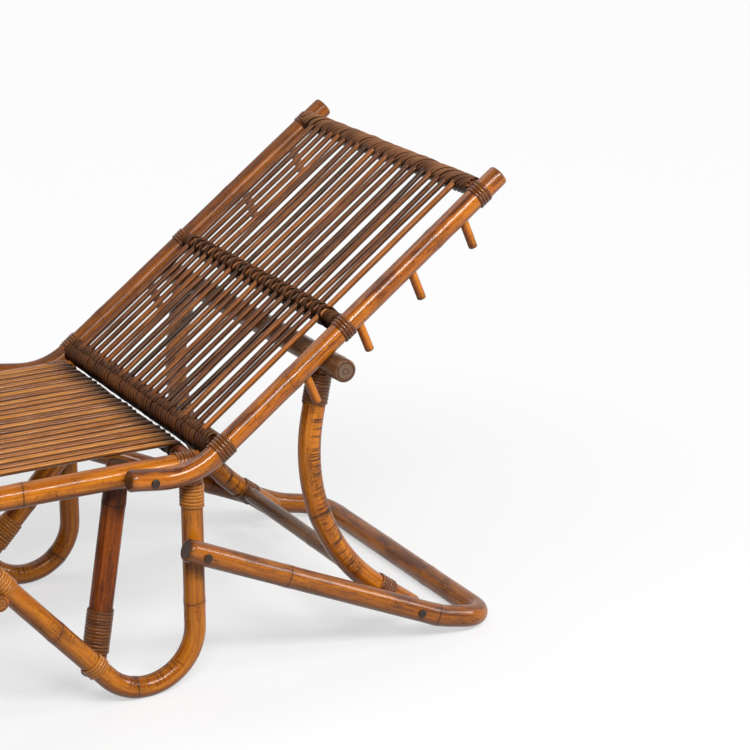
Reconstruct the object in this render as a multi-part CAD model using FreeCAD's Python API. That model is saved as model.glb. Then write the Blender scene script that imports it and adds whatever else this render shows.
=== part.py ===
"""Rattan chaise longue whose back lies on a swinging prop. All sizes are in millimetres.

+X points to the head, +Y to the sitter's right and +Z up. The origin is on the floor, at the middle of the
length and width. Places in the side view are (x, z) with x counted from the back's pivot.
"""

import math
import os

import FreeCAD
import Part

Vec = FreeCAD.Vector

# Diameters of poles, bars, canes and pegs
back_pole_d = 33.0
seat_rail_d = 36.0
leg_d = 33.0
strut_d = 36.0
loop_d = 35.0
post_d = 35.0
prop_bar_d = 36.0
prop_stretcher_d = 26.0
leg_stretcher_d = 26.0
seat_bar_d = 22.0
back_bar_d = {"lower": 30.0, "middle": 22.0, "top": 20.0}
cane_d = 9.0
peg_d = 14.0

# Overall widths, heights and lengths
back_spacing = 560.0  # between the axes of the two back poles, and of the loop's two arms
seat_rail_height = 357.0
rail_rear_run = 98.0  # pivot to the rails' rear ends
foot_reach = 900.0  # pivot to the rails' foot ends

# Back: a J-shaped pole on each side, with three cross bars
back_tip_run = 35.0  # pole in front of the pivot
back_lead_deg = 8.0  # the pole's front end points up by this much
knee_run = 65.0  # pivot to the corner of the J
knee_bend_r = 125.0
recline_deg = 37.0
back_length = 652.0  # corner of the J to the top end
pole_past_top_bar = 40.0
back_bar_along = {"lower": 65.0, "middle": 320.0, "top": back_length - pole_past_top_bar}
back_cane_count = 21
back_cane_inset = 30.5  # outer canes to the poles
back_cane_front = 14.0  # canes' axes in front of the poles' axes
back_cane_overhang = 7.0  # canes past the axes of the end bars

# Pegs under each back pole
peg_count = 4
first_peg_along = 231.0
peg_pitch = 112.0
peg_reach = 45.0  # below the pole
peg_seat = 12.0  # inside the pole
peg_lean_deg = 14.5  # tips lean towards the pivot
peg_chamfer = 1.2

# Seat
seat_cane_count = 22
seat_cane_inset = 12.0  # outer canes to the rails
seat_bar_rise = 8.0  # cross bars' axes above the rails' axes
seat_cane_overhang = 4.0  # canes past the rear bar's axis
seat_cane_foot_gap = 12.0  # canes stop short of the rails' foot ends
seat_bar_runs = {"rear": 76.0, "hip": -230.0, "knee": -545.0, "foot": -872.0}

# Legs: one pole on each side, bent to a U at the floor and rising again as a brace
leg_x = 80.0
leg_bend_r = 82.0
brace_deg = 49.0
floor_flat = 0.6  # worn flat under poles that stand on the floor
foot_leg_x = -860.0
leg_stretcher_run = 236.0  # end of the leg's bend to the stretcher, along the brace
leg_stretcher_drop = 20.0  # stretcher's axis under the braces' axes
leg_stretcher_past = 28.0  # stretcher past the braces' axes

# Struts inside the legs; the right rear one leans further and ends at the leg, not at the rail
strut_foot_x = -74.0
strut_foot_height = 37.0
strut_top_x = -19.0
strut_top_height = 366.0
leaning_strut_foot_x = -96.2
leaning_strut_foot_height = 64.2
leaning_strut_top_x = 88.2
leaning_strut_top_height = 262.8

# Floor loop behind the legs
loop_pivot_height = 225.0
loop_slope_deg = 24.7
loop_front_run = 30.0  # arms in front of their pins
loop_knee_x = 490.0
loop_knee_r = 150.0
loop_end_x = 577.0
loop_corner_r = 46.0

# Prop that stands on the loop and carries the back
prop_pivot_run = 402.0  # along the arm, from its pin
post_foot_run = 20.0  # post past its pivot
post_foot_deg = 37.6
post_lean_deg = 10.8
post_bend_r = 305.0
prop_bar_along = 271.0  # where the bar touches the back poles, from the corner of the J
prop_bar_length = 630.0
prop_stretcher_run = 50.0  # along the post, from its pivot

# Pins
pin_d = 8.0
pin_head_d = 13.0
pin_head_h = 3.0
pin_head_round = 1.4
pin_seat = 24.0  # shank inside the inner pole

# Cane lashings, wound round single poles
wrap_d = 4.4
wrap_pitch = 5.3
leg_wrap_count = 7
leg_wrap_drop = 11.0  # rail's underside to the first loop
strut_wrap_count = 9
strut_wrap_run = 43.0  # strut's foot end to the first loop
stretcher_wrap_count = 6
back_lower_wrap_count = 5
back_middle_wrap_count = 4
back_top_wrap_count = 4
back_wrap_shift = -3.0  # middle of each lashing past its bar, clear of the pegs
post_top_wrap_count = 9
post_low_wrap_count = 6

# Fits
touch_gap = 0.4  # between poles that lie side by side
cope_gap = 0.2  # between a hollowed pole end and the pole it meets
cane_gap = 0.3  # between canes and the bars under them
wrap_gap = 0.3  # between a lashing and its pole
pin_play = 0.05
pin_end_gap = 0.3

# Values that follow from the sizes above
back_y = back_spacing / 2
seat_y = back_y - (back_pole_d + seat_rail_d) / 2 - touch_gap
wrap_depth = wrap_d + 2 * wrap_gap  # room a lashing takes between its pole and the piece beside it
post_y = back_y - (loop_d + post_d) / 2 - wrap_depth
strut_at_rail_y = seat_y - (seat_rail_d + strut_d) / 2 - touch_gap
strut_at_leg_y = seat_y - (leg_d + strut_d) / 2 - touch_gap
back_wrap_counts = {
    "lower": back_lower_wrap_count, "middle": back_middle_wrap_count, "top": back_top_wrap_count
}
recline = math.radians(recline_deg)
lead = math.radians(back_lead_deg)
knee_x = knee_run * math.cos(lead)
knee_z = seat_rail_height - knee_run * math.sin(lead)
head_reach = knee_x + back_length * math.cos(recline) + back_pole_d / 2 * math.sin(recline)
pivot_x = (foot_reach - head_reach) / 2
back_along = Vec(math.cos(recline), 0, math.sin(recline))
back_front = Vec(-math.sin(recline), 0, math.cos(recline))
y_axis = Vec(0, 1, 0)

parts = {}
wrap_gaps = []


def side(x, z, y=0.0):
    return Vec(pivot_x + x, y, z)


def back_point(along, front=0.0, y=0.0):
    return side(knee_x, knee_z, y) + back_along * along + back_front * front


def mirror_y(shape):
    return shape.mirror(Vec(0, 0, 0), y_axis)


def add(name, *solids):
    parts[name] = list(solids)


def add_pair(name, left):
    add(name + "_left", left)
    add(name + "_right", mirror_y(left))


# Paths of straight runs and tangent arcs
def line(start, end):
    return Part.LineSegment(start, end).toShape()


def arc(start, middle, end):
    return Part.Arc(start, middle, end).toShape()


def tangent_arc(start, corner, end):
    # both ends lie equally far from the corner where their tangents meet
    half_turn = (corner - start).getAngle(end - corner) / 2
    weight = math.cos(half_turn)
    chord_middle = (start + end) * 0.5
    return arc(start, (chord_middle + corner * weight) * (1 / (1 + weight)), end)


def bent_path(points, radii):
    edges = []
    reached = points[0]
    for before, corner, after, radius in zip(points, points[1:], points[2:], radii):
        way_in = (corner - before).normalize()
        way_out = (after - corner).normalize()
        setback = radius * math.tan(way_in.getAngle(way_out) / 2)
        start = corner - way_in * setback
        end = corner + way_out * setback
        edges += [line(reached, start), tangent_arc(start, corner, end)]
        reached = end
    return edges + [line(reached, points[-1])]


def tube(edges, diameter):
    first = edges[0]
    begin = first.FirstParameter
    section = Part.Circle(first.valueAt(begin), first.tangentAt(begin), diameter / 2)
    sweep = Part.BRepOffsetAPI.MakePipeShell(Part.Wire(edges))
    sweep.add(Part.Wire([section.toShape()]))
    sweep.build()
    sweep.makeSolid()
    return sweep.shape()


def rod(start, end, diameter):
    return Part.makeCylinder(diameter / 2, (end - start).Length, start, end - start)


def cross_bar(centre, half_length, diameter):
    reach = y_axis * half_length
    return rod(centre - reach, centre + reach, diameter)


def stand_flat(shape):
    box = shape.BoundBox
    size = max(box.XLength, box.YLength) + 2 * leg_d
    corner = Vec(box.Center.x - size / 2, box.Center.y - size / 2, -leg_d)
    return shape.cut(Part.makeBox(size, size, leg_d, corner))


# Windings: a helix round a pole's axis, as two tangent arcs for each quarter turn
def axis_place(edges, run):
    for edge in edges:
        if run <= edge.Length or edge is edges[-1]:
            parameter = edge.getParameterByLength(min(run, edge.Length))
            return edge.valueAt(parameter), edge.tangentAt(parameter)
        run -= edge.Length


def helix_point(edges, start_run, radius, turn):
    centre, along = axis_place(edges, start_run + wrap_pitch * turn / (2 * math.pi))
    outward = along.cross(y_axis).normalize()
    return centre + outward * (radius * math.cos(turn)) + y_axis * (radius * math.sin(turn))


def helix_tangent(edges, start_run, radius, turn):
    step = 1e-4
    ahead = helix_point(edges, start_run, radius, turn + step)
    return (ahead - helix_point(edges, start_run, radius, turn - step)).normalize()


def biarc(start, start_way, end, end_way):
    chord = end - start
    ways = start_way + end_way
    bend = 2 * (1 - start_way.dot(end_way))
    reach = (math.sqrt(chord.dot(ways) ** 2 + bend * chord.dot(chord)) - chord.dot(ways)) / bend
    first_corner = start + start_way * reach
    second_corner = end - end_way * reach
    joint = (first_corner + second_corner) * 0.5
    return [tangent_arc(start, first_corner, joint), tangent_arc(joint, second_corner, end)]


def least_gap(edges, start_run, radius, loops):
    steps = 48
    turns = [2 * math.pi * k / steps for k in range(loops * steps + 1)]
    points = [helix_point(edges, start_run, radius, turn) for turn in turns]
    apart = [
        (p - q).Length for i, p in enumerate(points) for q in points[i + steps // 2 : i + 2 * steps]
    ]
    return min(apart) - wrap_d


def lashing(edges, start_run, loops, pole_d):
    radius = pole_d / 2 + wrap_gap + wrap_d / 2
    turns = [k * math.pi / 2 for k in range(4 * loops + 1)]
    points = [helix_point(edges, start_run, radius, turn) for turn in turns]
    ways = [helix_tangent(edges, start_run, radius, turn) for turn in turns]
    path = [line(points[0] - ways[0] * wrap_d, points[0])]
    for k in range(4 * loops):
        path += biarc(points[k], ways[k], points[k + 1], ways[k + 1])
    path.append(line(points[-1], points[-1] + ways[-1] * wrap_d))
    wrap_gaps.append(least_gap(edges, start_run, radius, loops))
    return tube(path, wrap_d)


# Pins driven in from outside, through an outer pole into the one beside it
def pin(x, z, outer_d, inner_y):
    head_y = -(back_y + outer_d / 2 + cane_gap)
    end_y = -inner_y - seat_rail_d / 2 + pin_seat
    head = Part.makeCylinder(pin_head_d / 2, pin_head_h, side(x, z, head_y), -y_axis)
    rim = [edge for edge in head.Edges if edge.BoundBox.YMax < head_y - pin_head_h / 2 and edge.Closed]
    head = head.makeFillet(pin_head_round, rim)
    return head.fuse(rod(side(x, z, head_y), side(x, z, end_y), pin_d)).removeSplitter()


def pin_hole(x, z, inner_y):
    end_y = -inner_y - seat_rail_d / 2 + pin_seat + pin_end_gap
    return rod(side(x, z, -back_y - back_pole_d), side(x, z, end_y), pin_d + 2 * pin_play)


# Back
back_tip = side(-back_tip_run * math.cos(lead), seat_rail_height + back_tip_run * math.sin(lead), -back_y)
back_path = bent_path(
    [back_tip, side(knee_x, knee_z, -back_y), back_point(back_length, 0, -back_y)], [knee_bend_r]
)
back_path_to_knee = sum(edge.Length for edge in back_path[:2])
knee_setback = knee_bend_r * math.tan((recline + lead) / 2)


def back_run(along):
    return back_path_to_knee + along - knee_setback


def back_pole():
    pole = tube(back_path, back_pole_d).cut(pin_hole(0, seat_rail_height, seat_y))
    for along in peg_places:
        pole = pole.cut(peg(along, pin_play))
    return pole


def peg(along, play=0.0):
    lean = math.radians(peg_lean_deg)
    way = -back_front * math.cos(lean) - back_along * math.sin(lean)
    root = back_point(along, 0, -back_y) + way * (back_pole_d / 2 - peg_seat)
    tip = root + way * (peg_seat + peg_reach)
    if play:
        return rod(root - way * pin_end_gap, tip, peg_d + 2 * play)
    stick = rod(root, tip, peg_d)
    rim = [edge for edge in stick.Edges if edge.Closed and (edge.CenterOfMass - tip).Length < peg_chamfer]
    return stick.makeChamfer(peg_chamfer, rim)


def back_bar(name):
    diameter = back_bar_d[name]
    front = back_cane_front - cane_d / 2 - cane_gap - diameter / 2
    bar = cross_bar(back_point(back_bar_along[name], front), back_y, diameter)
    cope = tube(back_path, back_pole_d + 2 * wrap_depth)
    return bar.cut(cope).cut(mirror_y(cope))


def cane_places(count, inner_y, inset):
    edge_y = inner_y - inset - cane_d / 2
    return [edge_y * (2 * k / (count - 1) - 1) for k in range(count)]


def back_canes():
    start = back_bar_along["lower"] - back_cane_overhang
    end = back_bar_along["top"] + back_cane_overhang
    return [
        rod(back_point(start, back_cane_front, y), back_point(end, back_cane_front, y), cane_d)
        for y in cane_places(back_cane_count, back_y - back_pole_d / 2, back_cane_inset)
    ]


def back_lashing(name):
    loops = back_wrap_counts[name]
    first = back_bar_along[name] + back_wrap_shift - loops * wrap_pitch / 2
    return lashing(back_path, back_run(first), loops, back_pole_d)


peg_places = [first_peg_along + peg_pitch * k for k in range(peg_count)]
add_pair("back_pole", back_pole())
for number, along in enumerate(peg_places, 1):
    add_pair(f"back_peg_{number}", peg(along))
for name in back_bar_along:
    add(f"back_bar_{name}", back_bar(name))
add("back_canes", *back_canes())
back_wraps = [back_lashing(name) for name in back_bar_along]
add("back_lashings", *back_wraps, *[mirror_y(wrap) for wrap in back_wraps])


# Seat
rail_rear = side(rail_rear_run, seat_rail_height, -seat_y)
rail_foot = side(-foot_reach, seat_rail_height, -seat_y)
past_rail = Vec(seat_rail_d, 0, 0)
rail_cope = rod(rail_rear + past_rail, rail_foot - past_rail, seat_rail_d + 2 * cope_gap)
seat_bar_height = seat_rail_height + seat_bar_rise


def seat_bar(x):
    bar = cross_bar(side(x, seat_bar_height), seat_y, seat_bar_d)
    return bar.cut(rail_cope).cut(mirror_y(rail_cope))


def seat_canes():
    height = seat_bar_height + seat_bar_d / 2 + cane_gap + cane_d / 2
    rear_x = seat_bar_runs["rear"] + seat_cane_overhang
    foot_x = -foot_reach + seat_cane_foot_gap
    return [
        rod(side(rear_x, height, y), side(foot_x, height, y), cane_d)
        for y in cane_places(seat_cane_count, seat_y - seat_rail_d / 2, seat_cane_inset)
    ]


seat_rail = rod(rail_rear, rail_foot, seat_rail_d).cut(pin_hole(0, seat_rail_height, seat_y))
add_pair("seat_rail", seat_rail)
for name, x in seat_bar_runs.items():
    add(f"seat_bar_{name}", seat_bar(x))
add("seat_canes", *seat_canes())


# Legs
bend_z = leg_d / 2 - floor_flat + leg_bend_r
bend_x = leg_x - leg_bend_r
brace = math.radians(brace_deg)
brace_way = Vec(-math.cos(brace), 0, math.sin(brace))
brace_under = Vec(-math.sin(brace), 0, -math.cos(brace))
brace_foot = side(
    bend_x - leg_bend_r * math.sin(brace), bend_z - leg_bend_r * math.cos(brace), -seat_y
)
brace_length = (seat_rail_height - brace_foot.z) / math.sin(brace)
leg_middle = Vec(pivot_x + (leg_x + foot_leg_x) / 2, 0, 0)


def brace_point(run):
    return brace_foot + brace_way * run


def to_foot(shape):
    return shape.mirror(leg_middle, Vec(1, 0, 0))


half_bend = -(math.pi / 2 + brace) / 2
bend_middle = side(
    bend_x + leg_bend_r * math.cos(half_bend), bend_z + leg_bend_r * math.sin(half_bend), -seat_y
)
leg_top = side(leg_x, seat_rail_height, -seat_y)
bend_start = side(leg_x, bend_z, -seat_y)
leg_path = [
    line(leg_top, bend_start),
    arc(bend_start, bend_middle, brace_foot),
    line(brace_foot, brace_point(brace_length)),
]
plain_leg = stand_flat(tube(leg_path, leg_d).cut(rail_cope))
strut_axis = line(
    side(strut_foot_x, strut_foot_height, -strut_at_leg_y),
    side(strut_top_x, strut_top_height, -strut_at_rail_y),
)
leaning_strut_axis = line(
    side(leaning_strut_foot_x, leaning_strut_foot_height, strut_at_leg_y),
    side(leaning_strut_top_x, leaning_strut_top_height, strut_at_leg_y),
)
strut = tube([strut_axis], strut_d)
brace_cope = rod(brace_foot, brace_point(brace_length), leg_d + 2 * cope_gap)
stretcher_centre = brace_point(leg_stretcher_run) + brace_under * leg_stretcher_drop
stretcher_centre.y = 0
leg_stretcher = cross_bar(stretcher_centre, seat_y + leg_stretcher_past, leg_stretcher_d)
leg_stretcher = leg_stretcher.cut(brace_cope).cut(mirror_y(brace_cope))

add_pair("rear_leg", plain_leg.cut(pin_hole(leg_x, loop_pivot_height, seat_y)))
add_pair("foot_leg", to_foot(plain_leg))
add("rear_strut_left", strut)
add("rear_strut_right", tube([leaning_strut_axis], strut_d))
add_pair("foot_strut", to_foot(strut))
add("rear_leg_stretcher", leg_stretcher)
add("foot_leg_stretcher", to_foot(leg_stretcher))

leg_wraps = {
    "leg_lashings": lashing(leg_path, seat_rail_d / 2 + leg_wrap_drop, leg_wrap_count, leg_d),
    "leg_stretcher_lashings": lashing(
        leg_path[2:], leg_stretcher_run + leg_stretcher_d / 2 + wrap_d, stretcher_wrap_count, leg_d
    ),
}
for name, wrap in leg_wraps.items():
    rear = [wrap, mirror_y(wrap)]
    add(name, *rear, *[to_foot(shape) for shape in rear])
strut_wrap = lashing([strut_axis], strut_wrap_run, strut_wrap_count, strut_d)
leaning_strut_wrap = lashing([leaning_strut_axis], strut_wrap_run, strut_wrap_count, strut_d)
foot_strut_wrap = to_foot(strut_wrap)
add("strut_lashings", strut_wrap, leaning_strut_wrap, foot_strut_wrap, mirror_y(foot_strut_wrap))

# Floor loop
slope = math.radians(loop_slope_deg)
arm_way = Vec(math.cos(slope), 0, -math.sin(slope))
arm_pin = side(leg_x, loop_pivot_height, -back_y)
arm_front = arm_pin - arm_way * loop_front_run
arm_knee = arm_pin + arm_way * ((loop_knee_x - leg_x) / math.cos(slope))
loop_corner = side(loop_end_x, loop_d / 2 - floor_flat, -back_y)
left_half = [arm_front, arm_knee, loop_corner]
right_half = [Vec(p.x, -p.y, p.z) for p in reversed(left_half)]
loop_radii = [loop_knee_r, loop_corner_r, loop_corner_r, loop_knee_r]
prop_pivot = arm_pin + arm_way * prop_pivot_run
prop_pivot_x = prop_pivot.x - pivot_x
prop_hole = pin_hole(prop_pivot_x, prop_pivot.z, post_y)
loop_holes = [pin_hole(leg_x, loop_pivot_height, seat_y), prop_hole]
floor_loop = stand_flat(tube(bent_path(left_half + right_half, loop_radii), loop_d))
for hole in loop_holes:
    floor_loop = floor_loop.cut(hole).cut(mirror_y(hole))
add("floor_loop", floor_loop)

# Prop
prop_bar_centre = back_point(prop_bar_along, -(back_pole_d + prop_bar_d) / 2 - touch_gap)
foot_angle = math.radians(post_foot_deg)
lean_angle = math.radians(post_lean_deg)
foot_way = Vec(-math.cos(foot_angle), 0, math.sin(foot_angle))
lean_way = Vec(math.sin(lean_angle), 0, math.cos(lean_angle))
post_pivot = Vec(prop_pivot.x, -post_y, prop_pivot.z)
post_top = Vec(prop_bar_centre.x, -post_y, prop_bar_centre.z)
span = post_top - post_pivot
foot_run = (span.x * lean_way.z - span.z * lean_way.x) / (foot_way.x * lean_way.z - foot_way.z * lean_way.x)
post_corner = post_pivot + foot_way * foot_run
post_path = bent_path([post_pivot - foot_way * post_foot_run, post_corner, post_top], [post_bend_r])
prop_bar = cross_bar(prop_bar_centre, prop_bar_length / 2, prop_bar_d)
prop_bar_cope = cross_bar(prop_bar_centre, prop_bar_length / 2, prop_bar_d + 2 * cope_gap)
post = tube(post_path, post_d).cut(prop_bar_cope).cut(prop_hole)
prop_stretcher_centre = post_pivot + foot_way * prop_stretcher_run
prop_stretcher_centre.y = 0
post_cope = rod(post_pivot, post_pivot + foot_way * foot_run, post_d + 2 * wrap_depth)
prop_stretcher = cross_bar(prop_stretcher_centre, post_y, prop_stretcher_d)
prop_stretcher = prop_stretcher.cut(post_cope).cut(mirror_y(post_cope))
post_length = sum(edge.Length for edge in post_path)
top_wrap_end = post_length - prop_bar_d / 2 - wrap_d
low_wrap_middle = post_foot_run + prop_stretcher_run
post_wraps = {
    "prop_top_lashings": (top_wrap_end - post_top_wrap_count * wrap_pitch, post_top_wrap_count),
    "prop_low_lashings": (low_wrap_middle - post_low_wrap_count * wrap_pitch / 2, post_low_wrap_count),
}

add_pair("prop_post", post)
add("prop_bar", prop_bar)
add("prop_stretcher", prop_stretcher)
for name, (start_run, loops) in post_wraps.items():
    wrap = lashing(post_path, start_run, loops, post_d)
    add(name, wrap, mirror_y(wrap))

# Pins
for name, left in {
    "back_pivot_pins": pin(0, seat_rail_height, back_pole_d, seat_y),
    "loop_pins": pin(leg_x, loop_pivot_height, loop_d, seat_y),
    "prop_pivot_pins": pin(prop_pivot_x, prop_pivot.z, loop_d, post_y),
}.items():
    add(name, left, mirror_y(left))

os.makedirs("parts", exist_ok=True)
for name, solids in parts.items():
    shape = solids[0] if len(solids) == 1 else Part.makeCompound(solids)
    shape.exportStep(f"parts/{name}.step")
    print(f"{name}: {len(shape.Solids)} solids, {shape.Volume / 1000:.1f} cm3, valid {shape.isValid()}")
print(f"least gap between a lashing's loops: {min(wrap_gaps):.2f} mm")
print(f"back pivot at x {pivot_x:.2f}, z {seat_rail_height:.2f}")
print(f"prop pivot at x {prop_pivot.x:.2f}, z {prop_pivot.z:.2f}")
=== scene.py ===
import math

import bpy
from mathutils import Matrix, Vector


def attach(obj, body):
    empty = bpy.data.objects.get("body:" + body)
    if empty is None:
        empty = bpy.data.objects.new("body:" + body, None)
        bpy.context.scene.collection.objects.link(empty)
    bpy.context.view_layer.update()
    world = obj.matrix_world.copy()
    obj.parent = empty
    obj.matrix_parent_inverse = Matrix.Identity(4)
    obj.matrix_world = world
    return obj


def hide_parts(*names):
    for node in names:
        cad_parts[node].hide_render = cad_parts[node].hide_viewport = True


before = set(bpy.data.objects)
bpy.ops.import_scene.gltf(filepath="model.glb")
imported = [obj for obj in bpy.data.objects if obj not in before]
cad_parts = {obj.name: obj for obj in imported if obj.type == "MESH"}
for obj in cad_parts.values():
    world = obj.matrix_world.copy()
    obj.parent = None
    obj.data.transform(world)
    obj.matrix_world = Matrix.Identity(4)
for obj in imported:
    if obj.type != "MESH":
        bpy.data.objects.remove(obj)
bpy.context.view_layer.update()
print("frame loaded with", len(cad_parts), "nodes")

scene = bpy.context.scene
scene.view_settings.view_transform = "Standard"

layout = {  # millimetres, counted from the point under the back's pivot
    "pivotX": 152.4965,
    "middleX": -390,  # halfway between the rear and foot legs
    "railHeight": 357.0,
    "backY": 280.0,
    "seatY": 245.1,
    "postY": 240.0,
    "recline": math.radians(37.0),
    "knee": (64.37, 347.95),
}
backAlong = Vector((math.cos(layout["recline"]), 0, math.sin(layout["recline"])))
backFront = Vector((-math.sin(layout["recline"]), 0, math.cos(layout["recline"])))


def spot(x, z, y=0.0):
    return Vector((layout["pivotX"] + x, y, z)) / 1000


def backSpot(along, front=0.0, y=0.0):
    return spot(*layout["knee"], y) + (backAlong * along + backFront * front) / 1000


def onSide(y, *points):
    return [spot(x, z, y) for x, z in points]


def across(x, z, reach):
    return [spot(x, z, y) for y in (-reach, reach)]


def acrossBack(form, reach):
    return [backSpot(form["along"], form["front"], y) for y in (-reach, reach)]


def flipSide(points):
    return [Vector((p.x, -p.y, p.z)) for p in points]


def flipToFoot(points):
    middle = spot(layout["middleX"], 0).x
    return [Vector((2 * middle - p.x, p.y, p.z)) for p in points]


def roundedPath(points, radii, degreesPerStep=3.0):
    path = [points[0]]
    for before, corner, after, radius in zip(points, points[1:], points[2:], radii):
        wayIn = (corner - before).normalized()
        wayOut = (after - corner).normalized()
        turn = wayIn.angle(wayOut)
        bendStart = corner - wayIn * (radius * math.tan(turn / 2))
        inward = (wayOut - wayIn * wayIn.dot(wayOut)).normalized()
        centre = bendStart + inward * radius
        steps = max(3, round(math.degrees(turn) / degreesPerStep))
        for k in range(steps + 1):
            part = turn * k / steps
            reached = centre - inward * (radius * math.cos(part))
            path.append(reached + wayIn * (radius * math.sin(part)))
    return path + [points[-1]]


def pathLength(path):
    return sum((b - a).length for a, b in zip(path, path[1:]))


def pathAt(path, run):
    for a, b in zip(path, path[1:]):
        step = (b - a).length
        if run <= step:
            return a.lerp(b, run / step)
        run -= step
    return path[-1]


def cutPath(path, start, length, step=0.004):
    count = max(2, round(length / step))
    return [pathAt(path, start + length * k / count) for k in range(count + 1)]


def polePath(path, step=0.006, edge=0.0035):
    # even steps, with closer ones at both ends for the rounded edges
    total = pathLength(path)
    ends = [0.0, edge * 0.12, edge * 0.4, edge]
    count = max(2, round((total - 2 * edge) / step))
    middle = [edge + (total - 2 * edge) * k / count for k in range(1, count)]
    runs = ends + middle + [total - e for e in reversed(ends)]
    return [pathAt(path, run) for run in runs]


# Small helpers for node trees
def addNode(tree, kind, **settings):
    node = tree.nodes.new(kind)
    for key, value in settings.items():
        setattr(node, key, value)
    return node


def feed(tree, socket, value):
    if isinstance(value, bpy.types.NodeSocket):
        tree.links.new(value, socket)
    else:
        socket.default_value = value


def feedAll(tree, node, inputs):
    for socket, value in inputs.items():
        feed(tree, node.inputs[socket], value)
    return node.outputs


def fed(tree, kind, inputs, **settings):
    return feedAll(tree, addNode(tree, kind, **settings), inputs)


def calc(tree, operation, *values, clamp=False):
    inputs = dict(enumerate(values))
    return fed(tree, "ShaderNodeMath", inputs, operation=operation, use_clamp=clamp)[0]


def plus(tree, first, second):
    return calc(tree, "ADD", first, second)


def minus(tree, first, second):
    return calc(tree, "SUBTRACT", first, second)


def times(tree, first, second, clamp=False):
    return calc(tree, "MULTIPLY", first, second, clamp=clamp)


def over(tree, first, second):
    return calc(tree, "DIVIDE", first, second)


def larger(tree, first, second):
    return calc(tree, "MAXIMUM", first, second)


def vecCalc(tree, operation, *values):
    inputs = dict(enumerate(values))
    outputs = fed(tree, "ShaderNodeVectorMath", inputs, operation=operation)
    return outputs["Value" if operation in ("DOT_PRODUCT", "LENGTH") else "Vector"]


def scaled(tree, vector, factor):
    inputs = {0: vector, "Scale": factor}
    return fed(tree, "ShaderNodeVectorMath", inputs, operation="SCALE")["Vector"]


def ramped(tree, value, low, high, lowOut=0.0, highOut=1.0, smooth=True):
    kind = "SMOOTHSTEP" if smooth else "LINEAR"
    inputs = dict(enumerate((value, low, high, lowOut, highOut)))
    return fed(tree, "ShaderNodeMapRange", inputs, interpolation_type=kind)[0]


def combined(tree, *values):
    return fed(tree, "ShaderNodeCombineXYZ", dict(enumerate(values)))[0]


def separated(tree, vector):
    return fed(tree, "ShaderNodeSeparateXYZ", {0: vector})


def noise(tree, vector, scale=1.0, detail=3.0, roughness=0.55):
    inputs = {"Vector": vector, "Scale": scale, "Detail": detail, "Roughness": roughness}
    return fed(tree, "ShaderNodeTexNoise", inputs)[0]


# Geometry node trees
def geo(tree, kind, inputs, **settings):
    return fed(tree, "GeometryNode" + kind, inputs, **settings)


def startTree(name, inputs):
    tree = bpy.data.node_groups.new(name, "GeometryNodeTree")
    tree.interface.new_socket("Geometry", in_out="INPUT", socket_type="NodeSocketGeometry")
    for label, (kind, value) in inputs.items():
        kind = "NodeSocket" + kind
        socket = tree.interface.new_socket(label, in_out="INPUT", socket_type=kind)
        if value is not None:
            socket.default_value = value
    tree.interface.new_socket("Geometry", in_out="OUTPUT", socket_type="NodeSocketGeometry")
    return tree, addNode(tree, "NodeGroupInput").outputs


def endTree(tree, mesh, material):
    mesh = geo(tree, "SetShadeSmooth", {"Geometry": mesh})[0]
    mesh = geo(tree, "RealizeInstances", {0: mesh})[0]
    mesh = geo(tree, "SetMaterial", {"Geometry": mesh, "Material": material})[0]
    fed(tree, "NodeGroupOutput", {0: mesh})


def storeAll(tree, mesh, values):
    for name, (kind, value) in values.items():
        inputs = {"Geometry": mesh, "Name": name, "Value": value}
        mesh = geo(tree, "StoreNamedAttribute", inputs, data_type=kind, domain="POINT")[0]
    return mesh


def capture(tree, geometry, kind, value):
    node = addNode(tree, "GeometryNodeCaptureAttribute", domain="POINT")
    node.capture_items.new(kind, "kept")
    outputs = feedAll(tree, node, {"Geometry": geometry, 1: value})
    return outputs["Geometry"], outputs[1]


def readValue(tree, name):
    return geo(tree, "InputNamedAttribute", {"Name": name}, data_type="FLOAT")["Attribute"]


def position(tree):
    return addNode(tree, "GeometryNodeInputPosition").outputs[0]


def splineRun(tree):
    return addNode(tree, "GeometryNodeSplineParameter").outputs["Length"]


poleForm = {
    "slowScale": 5.0,  # noise along the pole
    "slowSeed": 0.3,
    "jointDrift": 0.5,  # share of a gap by which joints stray
    "uneven": 0.015,
    "bowScale": 4.0,
    "bowSeed": 1.7,
    "bowFree": 0.08,  # run from an end over which the bow grows
    "tipFrom": 0.001,
    "floor": 0.0002,
}


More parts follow.
